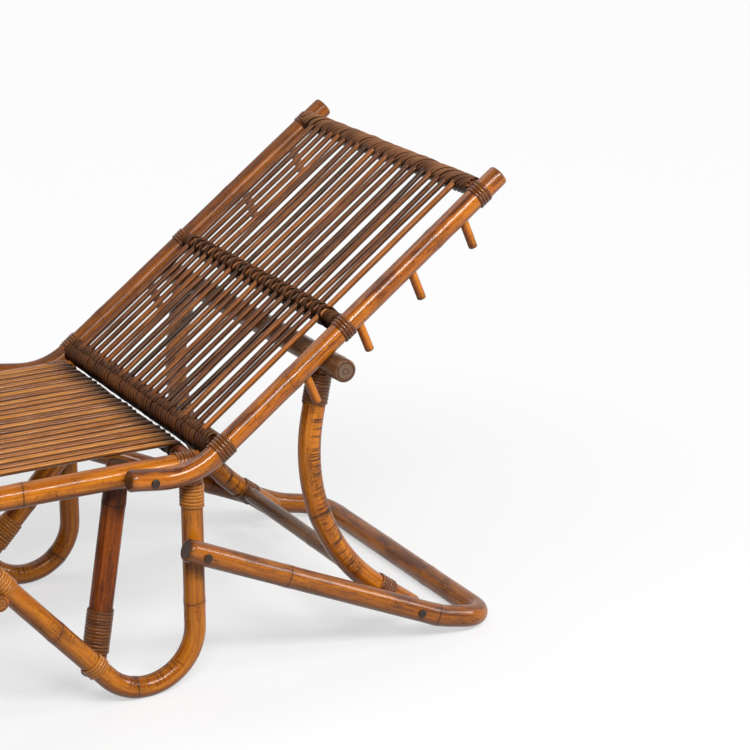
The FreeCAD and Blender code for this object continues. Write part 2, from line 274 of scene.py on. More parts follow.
def makePoleTree():
    tree, given = startTree("rattanPole", {
        "Radius": ("Float", 0.0165),
        "Sides": ("Int", 24),
        "Joint Gap": ("Float", 0.21),
        "Joint Swell": ("Float", 0.035),
        "Joint Width": ("Float", 0.014),
        "Edge Round": ("Float", 0.0035),
        "Bow": ("Float", 0.0008),
        "Tip Shade": ("Float", 0.3),
        "Tip Reach": ("Float", 0.007),
        "Material": ("Material", None),
    })
    gap, edgeRound = given["Joint Gap"], given["Edge Round"]
    curve = geo(tree, "MeshToCurve", {0: given["Geometry"]})[0]
    run = splineRun(tree)
    total = addNode(tree, "GeometryNodeSplineLength").outputs["Length"]
    shift = readValue(tree, "shift")
    place = plus(tree, run, shift)
    slowPlace = combined(tree, place, shift, poleForm["slowSeed"])
    slow = noise(tree, slowPlace, poleForm["slowScale"], 2.0)
    # distance to the nearest joint of the cane
    count = plus(tree, over(tree, place, gap), times(tree, slow, poleForm["jointDrift"]))
    away = times(tree, calc(tree, "PINGPONG", count, 0.5), gap)
    swell = ramped(tree, away, 0.0, given["Joint Width"], 1.0, 0.0)
    # rounded edges at both ends
    toEnd = calc(tree, "MINIMUM", run, minus(tree, total, run))
    lack = larger(tree, minus(tree, edgeRound, toEnd), 0.0)
    square = minus(tree, calc(tree, "POWER", edgeRound, 2.0), calc(tree, "POWER", lack, 2.0))
    edge = minus(tree, edgeRound, calc(tree, "SQRT", larger(tree, square, 0.0)))
    thin, thick = 1 - poleForm["uneven"], 1 + poleForm["uneven"]
    uneven = ramped(tree, slow, 0.2, 0.8, thin, thick, smooth=False)
    swollen = calc(tree, "MULTIPLY_ADD", swell, given["Joint Swell"], uneven)
    radius = times(tree, given["Radius"], readValue(tree, "girth"))
    radius = minus(tree, times(tree, radius, swollen), edge)
    # slight bow of a natural pole, none at its ends
    bowPlace = combined(tree, place, shift, poleForm["bowSeed"])
    bowNoise = {"Vector": bowPlace, "Scale": poleForm["bowScale"]}
    drift = fed(tree, "ShaderNodeTexNoise", bowNoise)["Color"]
    drift = vecCalc(tree, "SUBTRACT", drift, (0.5, 0.5, 0.5))
    bow = times(tree, ramped(tree, toEnd, 0.0, poleForm["bowFree"]), given["Bow"])
    bow = scaled(tree, drift, bow)
    curve = geo(tree, "SetPosition", {"Geometry": curve, "Offset": bow})[0]
    curve, keptPlace = capture(tree, curve, "FLOAT", place)
    curve, keptJoints = capture(tree, curve, "VECTOR", combined(tree, count, gap, 0.0))
    tip = ramped(tree, toEnd, poleForm["tipFrom"], given["Tip Reach"], 1.0, 0.0)
    curve, keptTip = capture(tree, curve, "FLOAT", times(tree, tip, given["Tip Shade"]))
    curve, keptRadius = capture(tree, curve, "FLOAT", radius)
    ring = geo(tree, "CurvePrimitiveCircle", {"Resolution": given["Sides"], "Radius": 1.0})
    profile, around = capture(tree, ring["Curve"], "VECTOR", position(tree))
    skin = geo(tree, "CurveToMesh", {
        "Curve": curve, "Profile Curve": profile, "Scale": keptRadius, "Fill Caps": True,
    })[0]
    side = separated(tree, scaled(tree, around, given["Radius"]))
    normal = addNode(tree, "GeometryNodeInputNormal").outputs[0]
    mesh = storeAll(tree, skin, {
        "poleCoord": ("FLOAT_VECTOR", combined(tree, keptPlace, side[0], side[1])),
        "joints": ("FLOAT_VECTOR", keptJoints),
        "tip": ("FLOAT", keptTip),
        "spoke": ("FLOAT_VECTOR", around),  # under 1 long only inside the end faces
        "facing": ("FLOAT_VECTOR", normal),
    })
    # worn flat where a pole stands on the floor
    here = separated(tree, position(tree))
    flat = combined(tree, here[0], here[1], larger(tree, here[2], poleForm["floor"]))
    mesh = geo(tree, "SetPosition", {"Geometry": mesh, "Position": flat})[0]
    endTree(tree, mesh, given["Material"])
    return tree


windingForm = {"wanderPitch": 1.3, "toneScale": 0.7}


def makeWindingTree():
    tree, given = startTree("stripWinding", {
        "Half Depth": ("Float", 0.018),  # across the side axis
        "Half Width": ("Float", 0.018),  # along the side axis
        "Side Axis": ("Vector", (0.0, 1.0, 0.0)),
        "Lead": ("Float", 0.0053),
        "Strands": ("Int", 1),
        "Strip Width": ("Float", 0.005),
        "Strip Thickness": ("Float", 0.003),
        "Unevenness": ("Float", 0.0004),
        "Step": ("Float", 0.0003),
        "Sides": ("Int", 8),
        "Material": ("Material", None),
    })
    depth, width, sideAxis = given["Half Depth"], given["Half Width"], given["Side Axis"]
    curve = geo(tree, "MeshToCurve", {0: given["Geometry"]})[0]
    evenly = {"Curve": curve, "Length": given["Step"]}
    curve = geo(tree, "ResampleCurve", evenly, mode="LENGTH")[0]
    strands = {"Geometry": curve, "Amount": given["Strands"]}
    copies = geo(tree, "DuplicateElements", strands, domain="SPLINE")
    strand = copies["Duplicate Index"]
    shift = readValue(tree, "shift")
    turns = over(tree, splineRun(tree), given["Lead"])
    turns = plus(tree, turns, over(tree, strand, given["Strands"]))
    shifted = plus(tree, turns, shift)
    angle = times(tree, shifted, 2 * math.pi)
    cosine, sine = calc(tree, "COSINE", angle), calc(tree, "SINE", angle)
    tangent = addNode(tree, "GeometryNodeInputTangent").outputs[0]
    depthAxis = vecCalc(tree, "CROSS_PRODUCT", tangent, sideAxis)
    depthAxis = vecCalc(tree, "NORMALIZE", depthAxis)

    def onOval(inDepth, inWidth):
        inDepth, inWidth = scaled(tree, depthAxis, inDepth), scaled(tree, sideAxis, inWidth)
        return vecCalc(tree, "ADD", inDepth, inWidth)

    outward = onOval(over(tree, cosine, depth), over(tree, sine, width))
    outward = vecCalc(tree, "NORMALIZE", outward)
    lift = times(tree, given["Strip Thickness"], 0.5)
    offset = onOval(
        times(tree, cosine, plus(tree, depth, lift)), times(tree, sine, plus(tree, width, lift))
    )
    pitched = times(tree, turns, windingForm["wanderPitch"])
    wander = noise(tree, combined(tree, pitched, shift, strand), 1.0, 1.0)
    wander = times(tree, minus(tree, wander, 0.5), given["Unevenness"])
    stray = vecCalc(tree, "ADD", scaled(tree, tangent, wander), scaled(tree, outward, wander))
    offset = vecCalc(tree, "ADD", offset, stray)
    curve, keptOut = capture(tree, copies["Geometry"], "VECTOR", outward)
    curve, keptTurns = capture(tree, curve, "FLOAT", shifted)
    curve, keptOffset = capture(tree, curve, "VECTOR", offset)
    curve = geo(tree, "SetPosition", {"Geometry": curve, "Offset": keptOffset})[0]
    turned = {"Curve": curve, "Normal": keptOut}
    curve = geo(tree, "SetCurveNormal", turned, mode="FREE")[0]
    curve, keptRun = capture(tree, curve, "FLOAT", splineRun(tree))
    ring = geo(tree, "CurvePrimitiveCircle", {"Resolution": given["Sides"], "Radius": 0.5})
    oval = combined(tree, given["Strip Thickness"], given["Strip Width"], 1.0)
    ring = geo(tree, "Transform", {"Geometry": ring["Curve"], "Scale": oval})[0]
    profile, around = capture(tree, ring, "VECTOR", position(tree))
    skin = geo(tree, "CurveToMesh", {
        "Curve": curve, "Profile Curve": profile, "Fill Caps": True,
    })[0]
    side = separated(tree, around)
    edge = calc(tree, "ABSOLUTE", side[1])
    tonePlace = combined(tree, keptTurns, shift, 0.0)
    mesh = storeAll(tree, skin, {
        "poleCoord": ("FLOAT_VECTOR", combined(tree, keptRun, side[0], side[1])),
        "tone": ("FLOAT", noise(tree, tonePlace, windingForm["toneScale"], 1.0)),
        "stripEdge": ("FLOAT", over(tree, edge, times(tree, given["Strip Width"], 0.5))),
        "facing": ("FLOAT_VECTOR", keptOut),
    })
    endTree(tree, mesh, given["Material"])
    return tree


usualMarks = {"shift": 0.0, "tone": 0.5, "girth": 1.0}


def grow(name, tree, paths, values):
    # each path has its points and may have the marks above
    points, edges, marks = [], [], {mark: [] for mark in usualMarks}
    for path in paths:
        first = len(points)
        points += path["points"]
        edges += [(k, k + 1) for k in range(first, len(points) - 1)]
        for mark, usual in usualMarks.items():
            marks[mark] += [path.get(mark, usual)] * len(path["points"])
    mesh = bpy.data.meshes.new(name + "Path")
    mesh.from_pydata(points, edges, [])
    for mark, numbers in marks.items():
        mesh.attributes.new(mark, "FLOAT", "POINT").data.foreach_set("value", numbers)
    source = bpy.data.objects.new(name + "Path", mesh)
    scene.collection.objects.link(source)
    modifier = source.modifiers.new("grow", "NODES")
    modifier.node_group = tree
    items = tree.interface.items_tree
    sockets = {item.name: item.identifier for item in items if item.in_out == "INPUT"}
    for label, value in values.items():
        modifier[sockets[label]] = value
    graph = bpy.context.evaluated_depsgraph_get()
    grown = bpy.data.meshes.new_from_object(source.evaluated_get(graph), depsgraph=graph)
    grown.name = name
    piece = bpy.data.objects.new(name, grown)
    scene.collection.objects.link(piece)
    source.modifiers.remove(modifier)
    bpy.data.objects.remove(source)
    bpy.data.meshes.remove(mesh)
    return piece


def settle(piece, body, slot, *nodes):
    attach(piece, body)
    if nodes:
        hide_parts(*nodes)
    return piece


# Finishes
def startMaterial(name):
    material = bpy.data.materials.new(name)
    material.use_nodes = True
    tree = material.node_tree
    return material, tree, tree.nodes["Principled BSDF"]


def attribute(tree, name):
    return addNode(tree, "ShaderNodeAttribute", attribute_name=name).outputs


def blended(tree, factor, first, second):
    inputs = {0: factor, 6: first, 7: second}  # the colour sockets of the mix
    return fed(tree, "ShaderNodeMix", inputs, data_type="RGBA", clamp_factor=True)[2]


def grain(tree, coord, along, around, detail, roughness):
    stretched = vecCalc(tree, "MULTIPLY", coord, (along, around, around))
    return noise(tree, stretched, 1.0, detail, roughness)


def bumped(tree, shader, height, distance, strength=0.3):
    inputs = {"Strength": strength, "Distance": distance, "Height": height}
    normal = fed(tree, "ShaderNodeBump", inputs)[0]
    feedAll(tree, shader, {"Normal": normal, "Coat Normal": normal})


def varnish(tree, shader, look, colour, patches, spread, gloss):
    sleek, dull = (look["rough"] + step for step in spread)
    feedAll(tree, shader, {
        "Base Color": colour,
        "Roughness": ramped(tree, patches, 0.3, 0.7, sleek, dull),
        "Coat Weight": look["coat"],
        "Coat Roughness": gloss,
        "Specular IOR Level": look["shine"],
        "Specular Tint": look["tint"],
    })


jointMarks = {  # distances from the joint, then the shares there
    "slant": 0.22,
    "line": (0.0004, 0.0013, 1.0, 0.0),
    "band": (0.001, 0.012, 1.0, 0.0),
}


def jointLine(tree, coord):
    # thin dark line at each joint, a little slanted, and a soft band round it
    joints = separated(tree, attribute(tree, "joints")["Vector"])
    sideways = times(tree, separated(tree, coord)[1], jointMarks["slant"])
    count = plus(tree, joints[0], over(tree, sideways, joints[1]))
    away = times(tree, calc(tree, "PINGPONG", count, 0.5), joints[1])
    return [ramped(tree, away, *jointMarks[mark]) for mark in ("line", "band")]


poleGrain = {  # stretch along and around the pole, detail, roughness
    "streaks": (7.0, 260.0, 4.0, 0.6),
    "patches": (12.0, 50.0, 4.0, 0.65),
    "specks": (200.0, 420.0, 2.0, 0.6),
    "creases": (210.0, 16.0, 3.0, 0.6),
    "pores": (0.0, 900.0, 2.0, 0.6),
}
poleSteps = {  # from and to, then the shares there
    "amber": (0.36, 0.66),
    "patches": (0.46, 0.66),
    "streakWear": (0.25, 0.65, 0.55, 1.0),
    "scuffs": (0.58, 0.7),
    "scuffPatches": (0.35, 0.6, 0.4, 1.0),
    "creases": (0.52, 0.58),
    "pores": (0.4, 0.65),
    "core": (0.02, 0.09, 0.7, 0.0),
    "rim": (0.78, 0.92),
    "endFace": (0.94, 0.97, 1.0, 0.0),
    "coat": (0.35, 0.65, 0.06, 0.2),
}
poleShares = {
    "scuffs": 0.85, "band": 0.25, "patchHeight": 0.8, "creaseHeight": 1.5, "rough": (-0.06, 0.12),
}


def bendCreases(tree, coord, facing, bend):
    # short cross creases on the inside of a bend
    place = separated(tree, coord)[0]
    enters = ramped(tree, place, bend["start"], bend["start"] + bend["fade"])
    leaves = ramped(tree, place, bend["end"] - bend["fade"], bend["end"], 1.0, 0.0)
    inward = vecCalc(tree, "DOT_PRODUCT", facing, bend["side"])
    inside = ramped(tree, inward, bend["low"], bend["low"] + bend["wrap"])
    creases = grain(tree, coord, *poleGrain["creases"])
    creases = ramped(tree, creases, *poleSteps["creases"])
    return times(tree, creases, times(tree, times(tree, enters, leaves), inside))


def sawnFace(tree, coord, reach, look):
    # dark rim and core, grey-brown between
    pores = grain(tree, coord, *poleGrain["pores"])
    sawn = blended(tree, ramped(tree, pores, *poleSteps["pores"]), look["sawn"], look["tip"])
    fromCore = calc(tree, "ABSOLUTE", minus(tree, reach, 0.3))
    sawn = blended(tree, ramped(tree, fromCore, *poleSteps["core"]), sawn, look["dark"])
    return blended(tree, ramped(tree, reach, *poleSteps["rim"]), sawn, look["dark"])


def poleFinish(name, look):
    material, tree, shader = startMaterial(name)
    coord = attribute(tree, "poleCoord")["Vector"]
    facing = attribute(tree, "facing")["Vector"]
    upward = separated(tree, facing)[2]
    streaks = grain(tree, coord, *poleGrain["streaks"])
    patches = grain(tree, coord, *poleGrain["patches"])
    specks = grain(tree, coord, *poleGrain["specks"])
    line, band = jointLine(tree, coord)
    amber = ramped(tree, streaks, *poleSteps["amber"])
    colour = blended(tree, amber, look["honey"], look["amber"])
    worn = times(tree, ramped(tree, patches, *poleSteps["patches"]), look["wear"])
    onTop = ramped(tree, upward, look["topFrom"], 1.0)
    worn = plus(tree, worn, times(tree, onTop, look["topWear"]))
    worn = times(tree, worn, ramped(tree, streaks, *poleSteps["streakWear"]), clamp=True)
    colour = blended(tree, worn, colour, look["patina"])
    # painted shade: faces turned downwards are blended toward the patina colour, more the further
    # they face the floor
    under = ramped(tree, upward, -0.8, 0.0, look["under"], 0.0)
    colour = blended(tree, under, colour, look["patina"])
    scuffs = ramped(tree, specks, *poleSteps["scuffs"])
    scuffs = times(tree, scuffs, ramped(tree, patches, *poleSteps["scuffPatches"]))
    colour = blended(tree, times(tree, scuffs, poleShares["scuffs"]), colour, look["dark"])
    colour = blended(tree, times(tree, band, poleShares["band"]), colour, look["patina"])
    ring = times(tree, line, look["ring"])
    colour = blended(tree, ring, colour, look["dark"])
    height = plus(tree, streaks, times(tree, patches, poleShares["patchHeight"]))
    height = minus(tree, height, ring)
    if "wrinkle" in look:
        bend = look["wrinkle"]
        crease = bendCreases(tree, coord, facing, bend)
        colour = blended(tree, times(tree, crease, bend["depth"]), colour, look["dark"])
        height = minus(tree, height, times(tree, crease, poleShares["creaseHeight"]))
    colour = blended(tree, attribute(tree, "tip")["Fac"], colour, look["tip"])
    reach = vecCalc(tree, "LENGTH", attribute(tree, "spoke")["Vector"])
    endFace = ramped(tree, reach, *poleSteps["endFace"])
    colour = blended(tree, endFace, colour, sawnFace(tree, coord, reach, look))
    gloss = ramped(tree, patches, *poleSteps["coat"])
    varnish(tree, shader, look, colour, patches, poleShares["rough"], gloss)
    bumped(tree, shader, height, 0.0006)
    return material


poleLook = {
    "honey": (0.60, 0.192, 0.010, 1),
    "amber": (0.38, 0.095, 0.006, 1),
    "patina": (0.105, 0.026, 0.008, 1),
    "dark": (0.022, 0.007, 0.004, 1),
    "tip": (0.075, 0.032, 0.016, 1),
    "sawn": (0.085, 0.048, 0.028, 1),
    "tint": (1.0, 0.70, 0.50, 1),
    "topFrom": 0.15,
    "ring": 0.8,
    "wear": 0.85,
    "topWear": 0.55,
    # share of painted shade blended onto downward faces
    "under": 0.75,
    "rough": 0.42,
    "coat": 0.45,
    "shine": 0.12,
}
legBend = {
    "start": 0.40, "end": 0.70, "fade": 0.03,
    "side": (0.0, 0.0, 1.0), "low": -0.1, "wrap": 0.7, "depth": 0.6,
}
postBend = dict(legBend, start=0.68, end=1.02, side=(1.0, 0.0, 0.0), low=-0.75, depth=0.8)
railLook = dict(poleLook, wear=0.6, topWear=0.35)
legLook = dict(poleLook, honey=(0.54, 0.180, 0.010, 1), wear=0.6, topWear=0.5, wrinkle=legBend)
strutLook = dict(
    poleLook, honey=(0.29, 0.066, 0.006, 1), amber=(0.14, 0.030, 0.006, 1),
    patina=(0.060, 0.015, 0.007, 1), wear=1.0, coat=0.2,
)
backLook = dict(
    poleLook, honey=(0.58, 0.178, 0.012, 1), amber=(0.36, 0.088, 0.008, 1),
    ring=0.35, wear=0.8, coat=0.65,
)
# painted shade: a darker, duller copy of the back pole finish for the far pole, standing for its
# side turned away from the light
shadedFarBackLook = dict(
    backLook, honey=(0.34, 0.105, 0.016, 1), amber=(0.23, 0.062, 0.011, 1),
    patina=(0.120, 0.040, 0.016, 1), coat=0.2,
)
loopLook = dict(
    poleLook, honey=(0.49, 0.158, 0.016, 1), amber=(0.30, 0.080, 0.010, 1),
    patina=(0.135, 0.046, 0.020, 1),
)
postLook = dict(poleLook, wear=0.6, topWear=0.4, wrinkle=postBend)
barLook = dict(
    poleLook, honey=(0.30, 0.125, 0.042, 1), amber=(0.20, 0.078, 0.026, 1),
    patina=(0.12, 0.056, 0.030, 1), sawn=(0.20, 0.125, 0.080, 1), topWear=0.7,
)
stretcherLook = dict(poleLook, sawn=(0.40, 0.130, 0.020, 1), tip=(0.22, 0.070, 0.014, 1))
coreLook = dict(strutLook, sawn=(0.03, 0.014, 0.008, 1), tip=(0.02, 0.010, 0.006, 1))
poleMaterial = poleFinish("rattanPoleFinish", poleLook)
railMaterial = poleFinish("rattanRailFinish", railLook)
legMaterial = poleFinish("rattanLegFinish", legLook)
strutMaterial = poleFinish("rattanStrutFinish", strutLook)
backMaterial = poleFinish("rattanBackFinish", backLook)
shadedFarBackMaterial = poleFinish("rattanFarBackShadedFinish", shadedFarBackLook)
loopMaterial = poleFinish("rattanLoopFinish", loopLook)
postMaterial = poleFinish("rattanPostFinish", postLook)
barMaterial = poleFinish("rattanBarFinish", barLook)
stretcherMaterial = poleFinish("stretcherFinish", stretcherLook)
coreMaterial = poleFinish("rollCoreFinish", coreLook)

caneGrain = {  # stretch along and around the cane, detail, roughness
    "streaks": (5.0, 420.0, 4.0, 0.6),
    "patches": (14.0, 60.0, 3.0, 0.5),
}
# underShade, creviceShadeFrom and stripShadeTo set painted shade: on downward cane faces, at strip
# edges and on downward strip faces
caneMarks = {
    "middleTone": 0.45, "underShade": 0.85, "creviceShadeFrom": 0.62, "stripShadeTo": 0.35,
    "rough": (-0.05, 0.1),
}


def caneFinish(name, look):
    material, tree, shader = startMaterial(name)
    coord = attribute(tree, "poleCoord")["Vector"]
    upward = separated(tree, attribute(tree, "facing")["Vector"])[2]
    streaks = grain(tree, coord, *caneGrain["streaks"])
    patches = grain(tree, coord, *caneGrain["patches"])
    tone = attribute(tree, "tone")["Fac"]
    for mottling in (streaks, patches):
        mottle = ramped(tree, mottling, 0.3, 0.7, -look["mottle"], look["mottle"])
        tone = plus(tree, tone, mottle)
    bands = addNode(tree, "ShaderNodeValToRGB")
    bands.color_ramp.elements[0].color = look["dark"]
    bands.color_ramp.elements[1].color = look["light"]
    bands.color_ramp.elements.new(caneMarks["middleTone"]).color = look["middle"]
    feed(tree, bands.inputs[0], tone)
    colour = bands.outputs[0]
    if look["jointed"]:
        ring = times(tree, jointLine(tree, coord)[0], look["ring"])
        colour = blended(tree, ring, colour, look["dark"])
        darkest = caneMarks["underShade"]
        shade = ramped(tree, upward, look["shadeFrom"], look["shadeTo"], darkest, 0.0)
        colour = blended(tree, shade, colour, look["dark"])
        colour = blended(tree, attribute(tree, "tip")["Fac"], colour, look["end"])
    else:
        # painted shade in the crevices between strips: darker toward each strip's edges
        edge = ramped(tree, attribute(tree, "stripEdge")["Fac"], caneMarks["creviceShadeFrom"], 1.0)
        colour = blended(tree, times(tree, edge, look["edge"]), colour, look["dark"])
        # painted shade: strip faces turned downwards are blended toward the dark colour
        slope = caneMarks["stripShadeTo"]
        paintedStripShade = ramped(tree, upward, -slope, slope, look["paintedStripShade"], 0.0)
        colour = blended(tree, paintedStripShade, colour, look["dark"])
    varnish(tree, shader, look, colour, patches, caneMarks["rough"], look["gloss"])
    bumped(tree, shader, streaks, 0.0004)
    return material


backCaneLook = {
    "dark": (0.014, 0.006, 0.004, 1),
    "middle": (0.108, 0.028, 0.006, 1),
    "light": (0.35, 0.102, 0.010, 1),
    "tint": (1.0, 0.62, 0.40, 1),
    "jointed": True,
    "ring": 0.6,
    "end": (0.020, 0.009, 0.007, 1),
    "shadeFrom": -0.6,
    "shadeTo": 0.4,
    "mottle": 0.16,
    "rough": 0.24,
    "coat": 0.14,
    "gloss": 0.05,
    "shine": 0.32,
}
seatCaneLook = dict(
    backCaneLook, dark=(0.075, 0.022, 0.007, 1), middle=(0.24, 0.074, 0.011, 1),
    light=(0.46, 0.170, 0.020, 1), end=(0.012, 0.005, 0.003, 1),
    ring=0.12, shadeFrom=-0.2, shadeTo=0.62, coat=0.4,
)
# in the wrap finishes, edge is the share of painted shade at the strip edges
wrapLook = dict(
    backCaneLook, dark=(0.040, 0.013, 0.006, 1), middle=(0.155, 0.048, 0.013, 1),
    light=(0.34, 0.120, 0.026, 1), jointed=False, rough=0.34, coat=0.45, gloss=0.1,
    shine=0.15, edge=0.75, paintedStripShade=0.3,
)
honeyWrapLook = dict(
    wrapLook, dark=(0.09, 0.026, 0.007, 1), middle=(0.44, 0.148, 0.018, 1),
    light=(0.62, 0.24, 0.038, 1), edge=0.5, paintedStripShade=0.1,
)
bindLook = dict(
    wrapLook, dark=(0.006, 0.003, 0.002, 1), middle=(0.092, 0.033, 0.012, 1),
    light=(0.23, 0.090, 0.034, 1), rough=0.45, coat=0.06, shine=0.06, edge=1.0, paintedStripShade=1.0,
)
rollLook = dict(
    bindLook, middle=(0.085, 0.025, 0.007, 1), light=(0.21, 0.070, 0.014, 1), coat=0.08
)
ropeLook = dict(
    bindLook, middle=(0.23, 0.092, 0.038, 1), light=(0.44, 0.200, 0.088, 1),
    shine=0.12, paintedStripShade=0.7,
)
backCaneMaterial = caneFinish("backCaneFinish", backCaneLook)
seatCaneMaterial = caneFinish("seatCaneFinish", seatCaneLook)
wrapMaterial = caneFinish("lashingFinish", wrapLook)
honeyMaterial = caneFinish("honeyLashingFinish", honeyWrapLook)
bindMaterial = caneFinish("bindingFinish", bindLook)
rollMaterial = caneFinish("rollFinish", rollLook)
ropeMaterial = caneFinish("ropeFinish", ropeLook)

ironLook = {
    "black": (0.045, 0.040, 0.038, 1),
    "rust": (0.085, 0.045, 0.028, 1),
    "grain": (420.0, 4.0, 0.6),  # scale, detail, roughness
    "metal": 0.8,
    "rough": (0.34, 0.55),
}


def ironFinish():
    material, tree, shader = startMaterial("ironPinFinish")
    coord = addNode(tree, "ShaderNodeTexCoord").outputs["Object"]
    pitted = noise(tree, coord, *ironLook["grain"])
    rusted = ramped(tree, pitted, 0.4, 0.65)
    feedAll(tree, shader, {
        "Base Color": blended(tree, rusted, ironLook["black"], ironLook["rust"]),
        "Metallic": ironLook["metal"],
        "Roughness": ramped(tree, pitted, 0.3, 0.7, *ironLook["rough"]),
    })
    bumped(tree, shader, pitted, 0.0004)
    return material


ironMaterial = ironFinish()
for nodeName in ("back_pivot_pins", "loop_pins", "prop_pivot_pins"):
    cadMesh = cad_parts[nodeName].data
    cadMesh.materials.clear()
    cadMesh.materials.append(ironMaterial)
print("finishes ready")

poleTree = makePoleTree()
windingTree = makeWindingTree()


def growPole(name, path, radius, body, nodes, material, shift=0.0, form=None):
    values = {"Radius": radius / 1000, "Material": material, **(form or {})}
    piece = grow(name, poleTree, [{"points": polePath(path), "shift": shift}], values)
    return settle(piece, body, "rattan_pole", *nodes)


def growSides(name, radius, body, node, sides, form):
    for side, (path, material, shift) in zip(("Left", "Right"), sides):
        nodes = [f"{node}_{side.lower()}"]
        growPole(name + side, path, radius, body, nodes, material, shift, form)


def growPair(name, path, radius, body, node, material, shift, form):
    sides = (path, material, shift), (flipSide(path), material, shift + 0.083)
    growSides(name, radius, body, node, sides, form)


# Back frame
backPole = {
    "radius": 16.5, "tip": (-34.66, 361.87), "length": 652, "bend": 0.125,
    "form": {"Joint Gap": 0.31},
}
backPath = roundedPath([
    spot(*backPole["tip"], -layout["backY"]),
    backSpot(0, 0, -layout["backY"]),
    backSpot(backPole["length"], 0, -layout["backY"]),
], [backPole["bend"]])
growSides("backPole", backPole["radius"], "backrest", "back_pole", (
    (backPath, backMaterial, -0.05), (flipSide(backPath), shadedFarBackMaterial, 0.033),
), backPole["form"])

backPegs = {
    "radius": 7.0, "first": 231, "pitch": 112, "count": 4, "root": 4.5, "reach": 61.5,
    "lean": math.radians(14.5), "edge": 0.0018,
    "shift": 0.07, "shiftPerPeg": 0.011, "shiftPerSide": 0.0001,
}
pegWay = -backFront * math.cos(backPegs["lean"]) - backAlong * math.sin(backPegs["lean"])
pegPaths, pegNodes = [], []
for k in range(backPegs["count"]):
    for side, y in (("left", -layout["backY"]), ("right", layout["backY"])):
        centre = backSpot(backPegs["first"] + backPegs["pitch"] * k, 0, y)
        ends = [centre + pegWay * (backPegs[end] / 1000) for end in ("root", "reach")]
        shift = backPegs["shift"] + backPegs["shiftPerPeg"] * k + y * backPegs["shiftPerSide"]
        pegPaths.append({"points": polePath(ends, edge=backPegs["edge"]), "shift": shift})
        pegNodes.append(f"back_peg_{k + 1}_{side}")
plainForm = {"Sides": 20, "Joint Gap": 4.0, "Bow": 0.0}  # straight, with no joints
pegs = grow("backPegs", poleTree, pegPaths, {
    **plainForm, "Radius": backPegs["radius"] / 1000, "Edge Round": backPegs["edge"],
    "Material": poleMaterial,
})
settle(pegs, "backrest", "rattan_pole", *pegNodes)

backBars = {
    "lower": {"radius": 15, "along": 65, "front": -5.8},
    "middle": {"radius": 11, "along": 320, "front": -1.8},
    "top": {"radius": 10, "along": 612, "front": -0.8},
}
backBarReach = layout["backY"] - 4
for name, bar in backBars.items():
    growPole(
        f"backBar{name.title()}", acrossBack(bar, backBarReach), bar["radius"], "backrest",
        [f"back_bar_{name}"], strutMaterial, shift=0.05,
    )


def swayBetween(run, low, high):
    # none at both bars, most halfway between them
    share = (run - backBars[low]["along"]) / (backBars[high]["along"] - backBars[low]["along"])
    return math.sin(math.pi * min(max(share, 0), 1))


caneForm = {
    "Radius": 0.0045, "Sides": 12, "Joint Swell": 0.06, "Joint Width": 0.006,
    "Edge Round": 0.0005,
}
backCanes = {
    "edge": 228.5,
    "front": 14.0,
    "start": 60,
    "end": 621,
    "steps": 48,
    "lowerSway": 0.75,
    "uneven": 0.05,
    # sideways nudges in millimetres, pairs of canes lie closer together
    "nudge": [0, 0, 1, 2, 3, -3, 3, -1, 2, 2, 0, 3, -2, -1, 4, -4, 4, -4, 3, -4, 0],
    "tone": [
        0.5, 0.4, 0.45, 0.6, 0.62, 0.35, 0.3, 0.6, 0.06, 0.6, 0.42,
        0.62, 0.4, 0.42, 0.25, 0.36, 0.02, 0.55, 0.35, 0.3, 0.9,
    ],
    "form": {"Joint Gap": 0.33, "Bow": 0.0022, "Material": backCaneMaterial},
}
canePaths = []
caneCount = len(backCanes["nudge"])
caneRun = backCanes["end"] - backCanes["start"]
for k in range(caneCount):
    y = backCanes["edge"] * (1 - 2 * k / (caneCount - 1))
    points = []
    for s in range(backCanes["steps"] + 1):
        run = backCanes["start"] + caneRun * s / backCanes["steps"]
        upper, lower = swayBetween(run, "middle", "top"), swayBetween(run, "lower", "middle")
        sway = backCanes["nudge"][k] * (upper + backCanes["lowerSway"] * lower)
        points.append(backSpot(run, backCanes["front"], y - sway))
    canePaths.append({
        "points": points, "shift": 0.37 * k + 0.11, "tone": backCanes["tone"][k],
        "girth": 1.0 + backCanes["uneven"] * math.sin(2.3 * k),
    })
canes = grow("backCanes", poleTree, canePaths, {**caneForm, **backCanes["form"]})
settle(canes, "backrest", "seat_cane", "back_canes")
print("back done")

# Seat frame
seatRail = {
    "radius": 18.0, "rear": (98, layout["railHeight"]), "foot": (-900, layout["railHeight"]),
    "form": {"Joint Gap": 0.34},
}
railPath = onSide(-layout["seatY"], seatRail["rear"], seatRail["foot"])
growPair(
    "seatRail", railPath, seatRail["radius"], "seat_frame", "seat_rail", railMaterial,
    shift=-0.013, form=seatRail["form"],
)
seatBars = {
    "radius": 11, "height": 365, "reach": layout["seatY"] - 6,
    "places": {"rear": 76, "hip": -230, "knee": -545, "foot": -872},
}
for name, x in seatBars["places"].items():
    ends = across(x, seatBars["height"], seatBars["reach"])
    growPole(
        f"seatBar{name.title()}", ends, seatBars["radius"], "seat_frame", [f"seat_bar_{name}"],
        strutMaterial, shift=0.2,
    )

